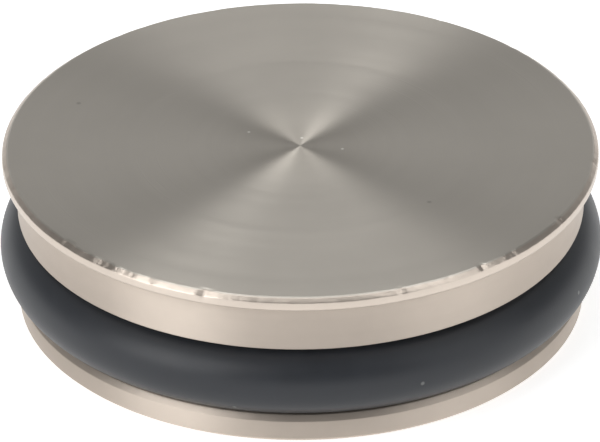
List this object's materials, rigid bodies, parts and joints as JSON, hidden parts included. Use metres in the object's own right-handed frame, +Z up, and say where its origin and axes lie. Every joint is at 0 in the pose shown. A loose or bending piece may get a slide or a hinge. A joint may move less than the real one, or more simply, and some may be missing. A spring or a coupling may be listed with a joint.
{
  "type": "manifold blanking plug",
  "caption": "Round push-in blanking plug with a thin chamfered lip, a guide band and a rubber sealing ring seated in its groove.",
  "frame": {"origin": "centre of the plug's underside, on its axis", "axes": "+Z up along the plug's axis, towards the face with the lip; X and Y are free, because the part is round"},
  "size_m": [0.021, 0.021, 0.006],
  "materials": {
    "plated_brass": "fine turned, nickel plated",
    "seal_rubber": "smooth moulded, satin"
  },
  "bodies": {
    "root": {"plug_body": "plated_brass", "sealing_ring": "seal_rubber"}
  },
  "joints": []
}
